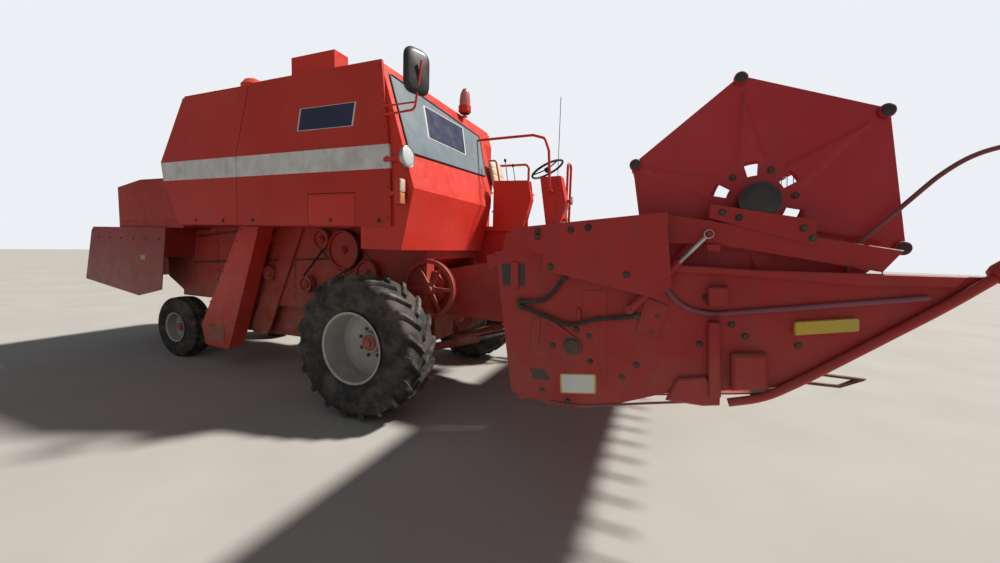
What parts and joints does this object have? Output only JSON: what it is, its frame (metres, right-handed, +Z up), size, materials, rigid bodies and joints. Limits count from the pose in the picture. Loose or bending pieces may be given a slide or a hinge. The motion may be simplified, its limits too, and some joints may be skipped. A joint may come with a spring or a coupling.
{
  "type": "combine harvester",
  "caption": "Combine harvester on four tyres with a raised reel header, open operator platform, high grain tank and folded unloading auger; header, reel, steering, auger and doors move.",
  "frame": {"origin": "on the ground under the middle of the machine's bounding box", "axes": "+X the way it drives, +Y to its left, +Z up"},
  "size_m": [10.0702, 5, 3.8],
  "materials": {
    "machine_red": "weathered matte paint",
    "dull_red": "dusty worn paint",
    "header_red": "weathered satin paint",
    "panel_grey": "satin",
    "black_paint": "satin",
    "engine_grey": "oily",
    "bright_steel": "worn",
    "dark_steel": "dusty",
    "tyre_black": "dusty",
    "rim_silver": "dusty silver",
    "cream_vinyl": "worn",
    "rubber_black": "dull",
    "lamp_metal": "red bracket with bright rim"
  },
  "bodies": {
    "chassis": {"front_axle": "machine_red", "main_frame": "dull_red", "threshing_body": "dull_red", "cleaning_shoe": "dull_red", "straw_walkers": "bright_steel", "straw_hood": "dull_red", "rear_cover": "dull_red", "grain_elevator": "machine_red", "drive_pulleys": "machine_red", "grain_tank": "machine_red", "tank_front_panel": "panel_grey", "side_panel_right": "machine_red", "engine_bay": "machine_red", "side_panel_left": "machine_red", "engine": "engine_grey", "engine_grille": "black_paint", "air_cleaner": "machine_red", "elevator_head": "machine_red", "platform": "machine_red", "consoles": "machine_red", "steering_wheel": "rubber_black", "seat": "cream_vinyl", "handrails": "machine_red", "ladder": "machine_red", "side_mirror": "black_paint", "lamps": "lamp_metal", "antenna": "black_paint", "rear_axle": "machine_red", "unloader_base": "machine_red"},
    "wheel_front_left": {"tyre_front_left": "tyre_black", "rim_front_left": "rim_silver"},
    "wheel_front_right": {"tyre_front_right": "tyre_black", "rim_front_right": "rim_silver"},
    "steer_left": {"knuckle_left": "machine_red"},
    "steer_right": {"knuckle_right": "machine_red"},
    "track_rod": {"steering_rod": "dark_steel"},
    "wheel_rear_left": {"tyre_rear_left": "tyre_black", "rim_rear_left": "rim_silver"},
    "wheel_rear_right": {"tyre_rear_right": "tyre_black", "rim_rear_right": "rim_silver"},
    "header": {"feeder_house": "header_red", "header_table": "header_red", "header_ends": "header_red", "end_shields": "header_red", "divider_noses": "header_red", "cutter_bar": "dark_steel", "header_hoses": "rubber_black"},
    "lift_barrel_pair": {"lift_barrels": "machine_red"},
    "lift_rod_pair": {"lift_rods": "bright_steel"},
    "auger": {"crop_auger": "bright_steel"},
    "reel_carrier": {"reel_arms": "header_red"},
    "reel_barrel_pair": {"reel_barrels": "header_red"},
    "reel_rod_pair": {"reel_rods": "bright_steel"},
    "reel_rotor": {"reel": "header_red"},
    "unloader": {"unloader_tube": "machine_red"},
    "right_engine_door": {"engine_door": "machine_red"},
    "side_hatch": {"hatch_door": "machine_red"}
  },
  "joints": [
    {"name": "front_wheel_left_spin", "type": "hinge", "parent": "chassis", "child": "wheel_front_left", "pos_m": [0.615, 1.228, 0.715], "axis": [0, 1, 0], "continuous": true},
    {"name": "front_wheel_right_spin", "type": "hinge", "parent": "chassis", "child": "wheel_front_right", "pos_m": [0.615, -1.228, 0.715], "axis": [0, 1, 0], "continuous": true},
    {"name": "steering_left", "type": "hinge", "parent": "chassis", "child": "steer_left", "pos_m": [-3.141, 0.52, 0.435], "axis": [0, 0, 1], "range_deg": [-35, 35]},
    {"name": "steering_right", "type": "hinge", "parent": "chassis", "child": "steer_right", "pos_m": [-3.141, -0.52, 0.435], "axis": [0, 0, 1], "range_deg": [-35, 35]},
    {"name": "track_rod_slide", "type": "slide", "parent": "chassis", "child": "track_rod", "axis": [0, 1, 0], "range_m": [-0.09, 0.09]},
    {"name": "rear_wheel_left_spin", "type": "hinge", "parent": "steer_left", "child": "wheel_rear_left", "pos_m": [-3.141, 0.74, 0.435], "axis": [0, 1, 0], "continuous": true},
    {"name": "rear_wheel_right_spin", "type": "hinge", "parent": "steer_right", "child": "wheel_rear_right", "pos_m": [-3.141, -0.74, 0.435], "axis": [0, 1, 0], "continuous": true},
    {"name": "header_lift", "type": "hinge", "parent": "chassis", "child": "header", "pos_m": [1.015, 0, 1.25], "axis": [0, -1, 0], "range_deg": [-22, 4]},
    {"name": "lift_barrels_tilt", "type": "hinge", "parent": "chassis", "child": "lift_barrel_pair", "pos_m": [0.795, 0, 0.5], "axis": [0, -1, 0], "range_deg": [-15.9, 3.3]},
    {"name": "lift_rods_slide", "type": "slide", "parent": "lift_barrel_pair", "child": "lift_rod_pair", "axis": [0.959, 0, 0.2833], "range_m": [-0.272, 0.053]},
    {"name": "crop_auger_spin", "type": "hinge", "parent": "header", "child": "auger", "pos_m": [2.94316, 0, 1.24636], "axis": [0, 1, 0], "continuous": true},
    {"name": "reel_arms_lift", "type": "hinge", "parent": "header", "child": "reel_carrier", "pos_m": [2.63499, 0, 1.77964], "axis": [0, -1, 0], "range_deg": [-2, 14]},
    {"name": "reel_spin", "type": "hinge", "parent": "reel_carrier", "child": "reel_rotor", "pos_m": [3.70056, 0, 1.95772], "axis": [0, 1, 0], "continuous": true},
    {"name": "reel_barrels_tilt", "type": "hinge", "parent": "header", "child": "reel_barrel_pair", "pos_m": [3.21008, 0, 1.45719], "axis": [0, -1, 0], "range_deg": [-2.7, 16.2]},
    {"name": "reel_rods_slide", "type": "slide", "parent": "reel_barrel_pair", "child": "reel_rod_pair", "axis": [0.6508, 0, 0.7592], "range_m": [-0.028, 0.165]},
    {"name": "unloader_swing", "type": "hinge", "parent": "chassis", "child": "unloader", "pos_m": [0.265, 1.425, 3.05], "axis": [0, 0, -1], "range_deg": [0, 95]},
    {"name": "engine_door_lift", "type": "hinge", "parent": "chassis", "child": "right_engine_door", "pos_m": [-1.53, -1.236, 3.412], "axis": [-1, 0, 0], "range_deg": [0, 80]},
    {"name": "side_hatch_lift", "type": "hinge", "parent": "chassis", "child": "side_hatch", "pos_m": [0.197, -1.238, 2.21], "axis": [-1, 0, 0], "range_deg": [0, 85]}
  ],
  "couplings": [
    {"joint": "steering_right", "follows": "steering_left", "ratio": 1},
    {"joint": "track_rod_slide", "follows": "steering_left", "m_per_rad": 0.13},
    {"joint": "lift_barrels_tilt", "follows": "header_lift", "ratio": 0.6985},
    {"joint": "lift_rods_slide", "follows": "header_lift", "m_per_rad": 0.6942},
    {"joint": "reel_barrels_tilt", "follows": "reel_arms_lift", "ratio": 1.1199},
    {"joint": "reel_rods_slide", "follows": "reel_arms_lift", "m_per_rad": 0.6552}
  ]
}
